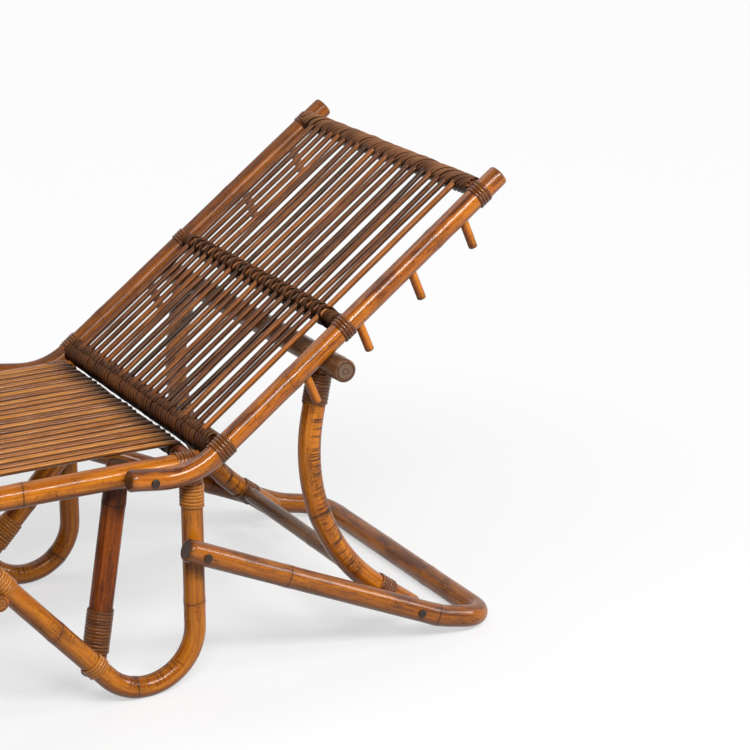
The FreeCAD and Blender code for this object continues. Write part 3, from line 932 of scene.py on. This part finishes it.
seatCanes = {
    "edge": 210.6, "height": 380.8, "rear": 78.5, "foot": -888, "count": 22, "steps": 80,
    "bent": 50, "dip": 2, "dipRun": 20,  # rear ends bend down from here
    "endSpread": 2.5, "cornerRun": 2, "wave": 1.4, "tone": 0.62, "toneSpread": 0.26,
    "uneven": 0.04,
    # the long dark fade at the canes' rear ends is partly their dark cut ends and partly painted
    # shade along the seat's rear edge
    "form": {
        "Joint Gap": 0.36, "Bow": 0.0016, "Tip Shade": 1.0, "Tip Reach": 0.055,
        "Material": seatCaneMaterial,
    },
}
bent = seatCanes["bent"]
straightRun = seatCanes["foot"] - bent
canePaths = []
for k in range(seatCanes["count"]):
    y = seatCanes["edge"] * (1 - 2 * k / (seatCanes["count"] - 1))
    wave = seatCanes["wave"] * math.sin(1.9 * k)
    last = seatCanes["rear"] + seatCanes["endSpread"] * math.sin(5.3 * k)
    last += seatCanes["cornerRun"] * (y / seatCanes["edge"]) ** 4
    runs = [last - 4 * s for s in range(5)]
    runs += [bent + straightRun * s / seatCanes["steps"] for s in range(1, seatCanes["steps"] + 1)]
    points = []
    for run in runs:
        dip = seatCanes["dip"] * max(0, (run - bent) / seatCanes["dipRun"]) ** 2
        points.append(spot(run, seatCanes["height"] - dip, y + wave * math.sin(0.011 * run + k)))
    canePaths.append({
        "points": points, "shift": 0.41 * k,
        "tone": seatCanes["tone"] + seatCanes["toneSpread"] * math.sin(2.7 * k + 0.6),
        "girth": 1.0 + seatCanes["uneven"] * math.sin(3.1 * k),
    })
canes = grow("seatCanes", poleTree, canePaths, {**caneForm, **seatCanes["form"]})
settle(canes, "seat_frame", "seat_cane", "seat_canes")

legs = {
    "radius": 16.5, "top": (80, 351), "corner": (80, -121.42), "braceTop": (-326.3, 346.0),
    "bend": 0.082, "shift": 0.122, "form": {"Joint Gap": 0.188},
}
legCorners = onSide(-layout["seatY"], legs["top"], legs["corner"], legs["braceTop"])
legPath = roundedPath(legCorners, [legs["bend"]])
for end, path in (("rear", legPath), ("foot", flipToFoot(legPath))):
    growPair(
        end + "Leg", path, legs["radius"], "seat_frame", end + "_leg", legMaterial,
        legs["shift"], legs["form"],
    )

struts = {
    "radius": 18.0, "foot": (-74, 37, -210.2), "top": (-19, 366, -208.7),
    "leaningFoot": (-96.2, 64.2, 210.2), "leaningTop": (88.2, 262.8, 210.2),
    "form": {"Joint Gap": 0.24, "Tip Shade": 0.6},
}
strutPath = [spot(*struts["foot"]), spot(*struts["top"])]
leaningPath = [spot(*struts["leaningFoot"]), spot(*struts["leaningTop"])]  # ends at the leg
growSides("rearStrut", struts["radius"], "seat_frame", "rear_strut", (
    (strutPath, strutMaterial, 0.162), (leaningPath, poleMaterial, 0.53),
), struts["form"])
growPair(
    "footStrut", flipToFoot(strutPath), struts["radius"], "seat_frame", "foot_strut",
    strutMaterial, shift=0.61, form=struts["form"],
)

legStretcher = {"radius": 13.0, "place": (-233.8, 209.1), "reach": 273.1}
stretcherPath = across(*legStretcher["place"], legStretcher["reach"])
for end, path, shift in (("rear", stretcherPath, 0.9), ("foot", flipToFoot(stretcherPath), 0.4)):
    growPole(
        end + "LegStretcher", path, legStretcher["radius"], "seat_frame",
        [end + "_leg_stretcher"], stretcherMaterial, shift,
    )

floorLoop = {
    "radius": 17.5, "pin": (80, 225), "slope": math.radians(24.7), "beyondPin": 0.030,
    "bend": (490, 36.4), "end": (577, 16.9), "bends": [0.150, 0.046, 0.046, 0.150],
    "form": {"Joint Gap": 0.29, "Tip Shade": 0.5},
}
armWay = Vector((math.cos(floorLoop["slope"]), 0, -math.sin(floorLoop["slope"])))
loopHalf = onSide(-layout["backY"], floorLoop["pin"], floorLoop["bend"], floorLoop["end"])
loopHalf[0] -= armWay * floorLoop["beyondPin"]
loopPath = roundedPath(loopHalf + list(reversed(flipSide(loopHalf))), floorLoop["bends"])
growPole(
    "floorLoop", loopPath, floorLoop["radius"], "seat_frame", ["floor_loop"], loopMaterial,
    shift=0.0525, form=floorLoop["form"],
)
print("seat frame done")

# Prop
propPost = {
    "radius": 17.5, "foot": (461.07, 44.8), "corner": (249.3, 207.9), "top": (301.8, 483.2),
    "bend": 0.305, "form": {"Joint Gap": 0.3},
}
postCorners = onSide(-layout["postY"], propPost["foot"], propPost["corner"], propPost["top"])
postPath = roundedPath(postCorners, [propPost["bend"]])
growPair(
    "propPost", postPath, propPost["radius"], "prop", "prop_post", postMaterial,
    shift=0.56, form=propPost["form"],
)
propBar = {"radius": 18.0, "reach": 315, "form": {"Tip Shade": 0.5}}
growPole(
    "propBar", across(*propPost["top"], propBar["reach"]), propBar["radius"], "prop",
    ["prop_bar"], barMaterial, shift=0.35, form=propBar["form"],
)
# the grey-brown bar finish here is partly the stretcher's own colour and partly a painted sheen
# for the grey reflection on its top
propStretcher = {"radius": 13.0, "place": (405.6, 87.5), "reach": layout["postY"] - 6}
growPole(
    "propStretcher", across(*propStretcher["place"], propStretcher["reach"]),
    propStretcher["radius"], "prop", ["prop_stretcher"], barMaterial, shift=0.15,
)
print("prop done")

# Lashings of flat cane round the poles
lashing = {"pitch": 0.0053, "width": 0.0053, "thickness": 0.0024, "uneven": 0.0008, "steps": 20}


def lash(name, body, nodes, segments, radius, sideRadius=None, material=wrapMaterial):
    paths = [{"points": points, "shift": 0.13 * k} for k, points in enumerate(segments)]
    piece = grow(name, windingTree, paths, {
        "Half Depth": radius,
        "Half Width": sideRadius or radius,
        "Lead": lashing["pitch"],
        "Strip Width": lashing["width"],
        "Strip Thickness": lashing["thickness"],
        "Step": lashing["pitch"] / lashing["steps"],
        "Unevenness": lashing["uneven"],
        "Material": material,
    })
    return settle(piece, body, "cane_wrap", *nodes)


def bothSides(points):
    return [points, flipSide(points)]


def fourLegs(points):
    return bothSides(points) + bothSides(flipToFoot(points))


def turnsAt(path, start, loops):
    return cutPath(path, start, loops * lashing["pitch"])


# path run where the straight back's measure starts
backRun = pathLength(backPath) - backPole["length"] / 1000
backTurns = []
for start, loops in ((48.75, 5), (306.4, 4), (598.4, 4)):
    backTurns += bothSides(turnsAt(backPath, backRun + start / 1000, loops))
lash("backLashings", "backrest", ["back_lashings"], backTurns, radius=0.0166)
legTurns = turnsAt(legPath, start=0.023, loops=7)
lash(
    "legLashings", "seat_frame", ["leg_lashings"], fourLegs(legTurns), radius=0.0165,
    material=honeyMaterial,
)
strutTurns = turnsAt(strutPath, start=0.036, loops=13)
strutSegments = [strutTurns] + bothSides(flipToFoot(strutTurns))
lash("strutLashings", "seat_frame", ["strut_lashings"], strutSegments, radius=0.0181)
leaningTurns = turnsAt(leaningPath, start=0.043, loops=9)
lash(
    "leaningStrutLashing", "seat_frame", ["strut_lashings"], [leaningTurns], radius=0.0181,
    material=honeyMaterial,
)
bracePath = onSide(-layout["seatY"], (-63.9, 44.1), legs["braceTop"])
braceTurns = turnsAt(bracePath, start=0.020, loops=4)
lash(
    "braceStrands", "seat_frame", [], fourLegs(braceTurns), radius=0.0166,
    material=honeyMaterial,
)
stretcherTurns = turnsAt(bracePath, start=0.227, loops=11)
lash(
    "stretcherLashings", "seat_frame", ["leg_stretcher_lashings"], fourLegs(stretcherTurns),
    radius=0.0166, material=honeyMaterial,
)
railEnd = onSide(-layout["seatY"], (52, layout["railHeight"]), (85, layout["railHeight"]))
railTurns = cutPath(railEnd, start=0.0, length=0.033)
lash(
    "railEndStrands", "seat_frame", [], bothSides(railTurns), radius=0.0181, sideRadius=0.0152
)
topTurns = turnsAt(postPath, start=pathLength(postPath) - 0.0701, loops=9)
lash("propTopLashings", "prop", ["prop_top_lashings"], bothSides(topTurns), radius=0.0175)
lowTurns = turnsAt(postPath, start=0.0541, loops=6)
lash("propLowLashings", "prop", ["prop_low_lashings"], bothSides(lowTurns), radius=0.0176)
print("lashings done")


# Bindings of the cane ends round the bars
def bind(name, body, ends, side, form, material):
    piece = grow(name, windingTree, [{"points": ends, "shift": form["shift"]}], {
        "Half Depth": form["depth"] / 1000,
        "Half Width": form["width"] / 1000,
        "Side Axis": side,
        "Lead": form["lead"] / 1000,
        "Strands": form["strands"],
        "Strip Width": form["strip"] / 1000,
        "Strip Thickness": form["thick"] / 1000,
        "Unevenness": form["uneven"] / 1000,
        "Step": abs(form["lead"]) / 30000,  # 30 steps a turn
        "Sides": 10,
        "Material": material,
    })
    return settle(piece, body, "cane_wrap")


usualBinding = {"strands": 1, "thick": 3.4, "uneven": 2}
binding = {
    "lowerRoll": dict(
        usualBinding, along=55, front=-1, depth=14.5, width=14.5, lead=-64, strands=7,
        strip=8.0, uneven=3, shift=0.25, reach=266,
    ),
    "upperRoll": dict(
        usualBinding, along=64, front=4, depth=11.5, width=8.0, lead=-9.4,
        strip=8.0, uneven=3, shift=0.4, reach=266,
    ),
    "middleBand": dict(
        usualBinding, along=320, front=0.5, depth=12.6, width=11.0, lead=5.6,
        strip=5.4, thick=2.4, shift=0.1, reach=265,
    ),
    "middleStitch": dict(
        usualBinding, along=320, front=2.9, depth=17.4, width=13.0, lead=-22.85,
        strip=8.6, shift=-0.02, reach=239.925,
    ),
    "middleCross": dict(
        usualBinding, along=320, front=2.9, depth=16.0, width=12.0, lead=22.85,
        strip=8.0, thick=3.0, shift=0.02, reach=239.925,
    ),
    "topRope": dict(
        usualBinding, along=612.5, front=5.5, depth=12.6, width=11.5, lead=118, strands=12,
        strip=6.4, thick=4.4, uneven=6, shift=0.25, reach=267,
    ),
}
bindingMaterials = {"lowerRoll": rollMaterial, "topRope": ropeMaterial}
for name, form in binding.items():
    material = bindingMaterials.get(name, bindMaterial)
    bind(name, "backrest", acrossBack(form, form["reach"]), backAlong, form, material)

rollCore = {"radius": 15.5, "in": ("lowerRoll", "upperRoll", "topRope")}
corePaths = []
for name in rollCore["in"]:
    form = binding[name]
    points = polePath(acrossBack(form, form["reach"]))
    corePaths.append({"points": points, "girth": form["width"] / rollCore["radius"]})
rollCores = grow("rollCores", poleTree, corePaths, {
    **plainForm, "Radius": rollCore["radius"] / 1000, "Material": coreMaterial,
})
settle(rollCores, "backrest", "rattan_pole")

rearEdge = dict(
    usualBinding, place=(75.5, 365), reach=224, depth=10.4, width=10.4, lead=22, strands=2,
    strip=9.5, thick=2.4, uneven=5, shift=0.1,
)
ends = across(*rearEdge["place"], rearEdge["reach"])
bind("seatRearBinding", "seat_frame", ends, (1.0, 0.0, 0.0), rearEdge, bindMaterial)
print("bindings done")

# Floor, light and camera
studio = {
    "floorHalf": 14.0,
    "floorRough": 0.7,
    "oval": (0.8, 1.0, 0.0),  # the floor whitens in an oval round the object
    "whiten": (0.45, 1.55, 0.545, 0.965),  # distances, then the shares of white
    "floorPale": 0.9,
    "bounce": 0.25,
    "world": 0.06,
    "backdrop": (0.489, 0.872, 0.0),  # way from the camera to the backdrop
    "mirror": (0.1, 0.55, 0.1, 1.0),  # share of that way, then the strengths
}


def lightRays(tree):
    rays = addNode(tree, "ShaderNodeLightPath").outputs
    return rays, larger(tree, rays["Is Glossy Ray"], rays["Is Transmission Ray"])


def floorFinish():
    material, tree, shader = startMaterial("studioFloorFinish")
    coord = addNode(tree, "ShaderNodeTexCoord").outputs["Object"]
    distance = vecCalc(tree, "LENGTH", vecCalc(tree, "MULTIPLY", coord, studio["oval"]))
    white = ramped(tree, distance, *studio["whiten"])
    rays, mirrored = lightRays(tree)
    seen = larger(tree, rays["Is Camera Ray"], mirrored)
    pale = ramped(tree, seen, 0.0, 1.0, studio["bounce"], studio["floorPale"], smooth=False)
    feedAll(tree, shader, {
        "Base Color": combined(tree, pale, pale, pale), "Roughness": studio["floorRough"],
    })
    glow = addNode(tree, "ShaderNodeEmission").outputs[0]
    mix = {0: times(tree, white, seen), 1: shader.outputs[0], 2: glow}
    surface = fed(tree, "ShaderNodeMixShader", mix)[0]
    feed(tree, tree.nodes["Material Output"].inputs["Surface"], surface)
    return material


half = studio["floorHalf"]
corners = [(-half, -half, 0), (half, -half, 0), (half, half, 0), (-half, half, 0)]
floorMesh = bpy.data.meshes.new("studioFloor")
floorMesh.from_pydata(corners, [], [(0, 1, 2, 3)])
floorMesh.materials.append(floorFinish())
floor = bpy.data.objects.new("studioFloor", floorMesh)
scene.collection.objects.link(floor)

world = bpy.data.worlds.new("studioWorld")
scene.world = world
world.use_nodes = True
tree = world.node_tree
rays, mirrored = lightRays(tree)
# reflections show the white backdrop beyond the object and a dim room behind the camera
looking = addNode(tree, "ShaderNodeTexCoord").outputs["Generated"]
way = vecCalc(tree, "DOT_PRODUCT", looking, studio["backdrop"])
mirrored = times(tree, mirrored, ramped(tree, way, *studio["mirror"]))
strength = larger(tree, rays["Is Camera Ray"], mirrored)
strength = larger(tree, strength, times(tree, rays["Is Diffuse Ray"], studio["world"]))
feedAll(tree, tree.nodes["Background"], {"Strength": strength, "Color": (1, 1, 1, 1)})

softboxes = {  # place, aim, size and power
    "keyStrip": ((0.1, -2.75, 2.65), (0.1, 0, 0.35), (3.4, 0.55), 154),
    "sideBox": ((2.8, -1.4, 1.5), (0.3, 0, 0.3), (0.8, 0.8), 26),
    "topBox": ((-0.2, 1.0, 3.0), (0.1, 0, 0.3), (2.2, 1.4), 22),
}
for name, (place, aim, size, power) in softboxes.items():
    lamp = bpy.data.lights.new(name, "AREA")
    lamp.shape = "RECTANGLE"
    lamp.size, lamp.size_y = size
    lamp.energy = power
    holder = bpy.data.objects.new(name, lamp)
    holder.location = place
    beam = Vector(aim) - Vector(place)
    holder.rotation_euler = beam.to_track_quat("-Z", "Y").to_euler()
    scene.collection.objects.link(holder)

view = {
    "place": (-1.1615, -3.287, 1.603), "turn": (71.60, 0, -29.26), "lens": 116.16, "sensor": 36.0,
}
camera = bpy.data.objects.new("photoCamera", bpy.data.cameras.new("photoCamera"))
camera.location = view["place"]
camera.rotation_euler = [math.radians(a) for a in view["turn"]]
camera.data.lens = view["lens"]
camera.data.sensor_width = view["sensor"]
scene.collection.objects.link(camera)
scene.camera = camera
print("studio done")
